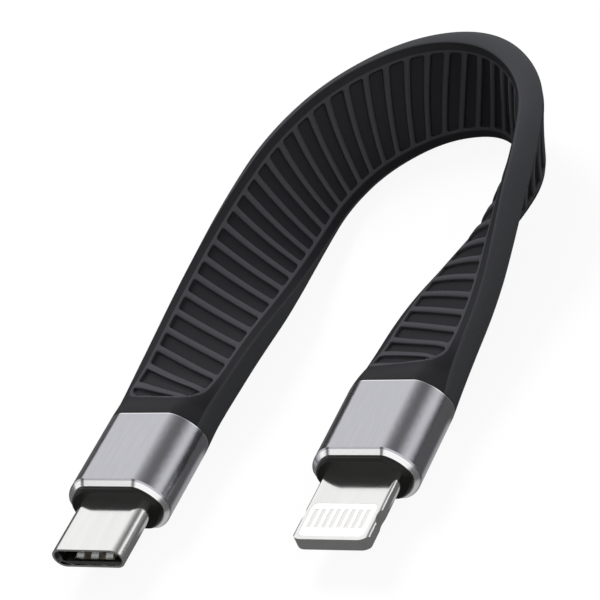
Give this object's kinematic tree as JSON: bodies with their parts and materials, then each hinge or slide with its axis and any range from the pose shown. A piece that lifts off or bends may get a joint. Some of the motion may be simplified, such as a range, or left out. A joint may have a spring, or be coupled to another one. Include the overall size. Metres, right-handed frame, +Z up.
{
  "type": "charging cable",
  "caption": "Short flat charging cable: a ribbed strap curved into a loop between an oval reversible plug and a slim reversible plug, each in a metal sleeve.",
  "frame": {"origin": "on the surface the cable lies on, under the middle of the two plugs' common box, the strap left out", "axes": "+X across the plugs, from the oval plug to the slim plug; both plug tips point to -Y; +Z up"},
  "size_m": [0.0383, 0.0725, 0.0121],
  "materials": {
    "grey_aluminium": "satin anodised, bright bevel at the front edge",
    "black_collar": "fine matt",
    "board_green": "solder mask",
    "chip_black": "moulded",
    "passive_tan": "fired body with tinned ends",
    "tinned_steel": "tinned sheet",
    "black_mould": "moulded",
    "bright_nickel": "bright nickel plate",
    "black_insulator": "moulded",
    "spring_steel": "bright spring sheet",
    "pale_insert": "smooth moulded",
    "pale_contact": "pale plated",
    "gold_contact": "gold plated",
    "charcoal_strap": "soft-touch elastomer",
    "amber_flex": "polyimide film over copper"
  },
  "bodies": {
    "cable": {"oval_plug_sleeve": "grey_aluminium", "oval_plug_collar": "black_collar", "oval_plug_board": "board_green", "oval_plug_chip": "chip_black", "oval_plug_passives": "passive_tan", "oval_plug_shield_can": "tinned_steel", "oval_plug_inner_mould": "black_mould", "oval_plug_shell": "bright_nickel", "oval_plug_housing": "black_insulator", "oval_plug_ground_spring_upper": "spring_steel", "oval_plug_ground_spring_lower": "spring_steel", "oval_plug_mid_plate": "spring_steel", "slim_plug_sleeve": "grey_aluminium", "slim_plug_collar": "black_collar", "slim_plug_board": "board_green", "slim_plug_chip": "chip_black", "slim_plug_passives": "passive_tan", "slim_plug_shield_can": "tinned_steel", "slim_plug_inner_mould": "black_mould", "slim_plug_frame": "bright_nickel", "slim_plug_insert": "pale_insert", "slim_plug_contacts_upper": "pale_contact", "slim_plug_contacts_lower": "pale_contact", "strap": "charcoal_strap", "flex_circuit": "amber_flex"},
    "right_latch": {"oval_plug_latch_right": "spring_steel"},
    "left_latch": {"oval_plug_latch_left": "spring_steel"},
    "upper_contacts": {"oval_plug_contacts_upper": "gold_contact"},
    "lower_contacts": {"oval_plug_contacts_lower": "gold_contact"}
  },
  "joints": [
    {"name": "right_latch_flex", "type": "hinge", "parent": "cable", "child": "right_latch", "pos_m": [-0.00945, -0.0028, 0.0034], "axis": [0, 0, 1], "range_deg": [0, 1.2], "stiffness_Nm_per_rad": 0.001},
    {"name": "left_latch_flex", "type": "hinge", "parent": "cable", "child": "left_latch", "pos_m": [-0.01655, -0.0028, 0.0034], "axis": [0, 0, -1], "range_deg": [0, 1.2], "stiffness_Nm_per_rad": 0.001},
    {"name": "upper_contacts_flex", "type": "hinge", "parent": "cable", "child": "upper_contacts", "pos_m": [-0.013, -0.0016, 0.00381], "axis": [-1, 0, 0], "range_deg": [0, 0.7], "stiffness_Nm_per_rad": 0.003},
    {"name": "lower_contacts_flex", "type": "hinge", "parent": "cable", "child": "lower_contacts", "pos_m": [-0.013, -0.0016, 0.00299], "axis": [1, 0, 0], "range_deg": [0, 0.7], "stiffness_Nm_per_rad": 0.003}
  ],
  "couplings": [
    {"joint": "left_latch_flex", "follows": "right_latch_flex", "ratio": 1},
    {"joint": "lower_contacts_flex", "follows": "upper_contacts_flex", "ratio": 1}
  ]
}
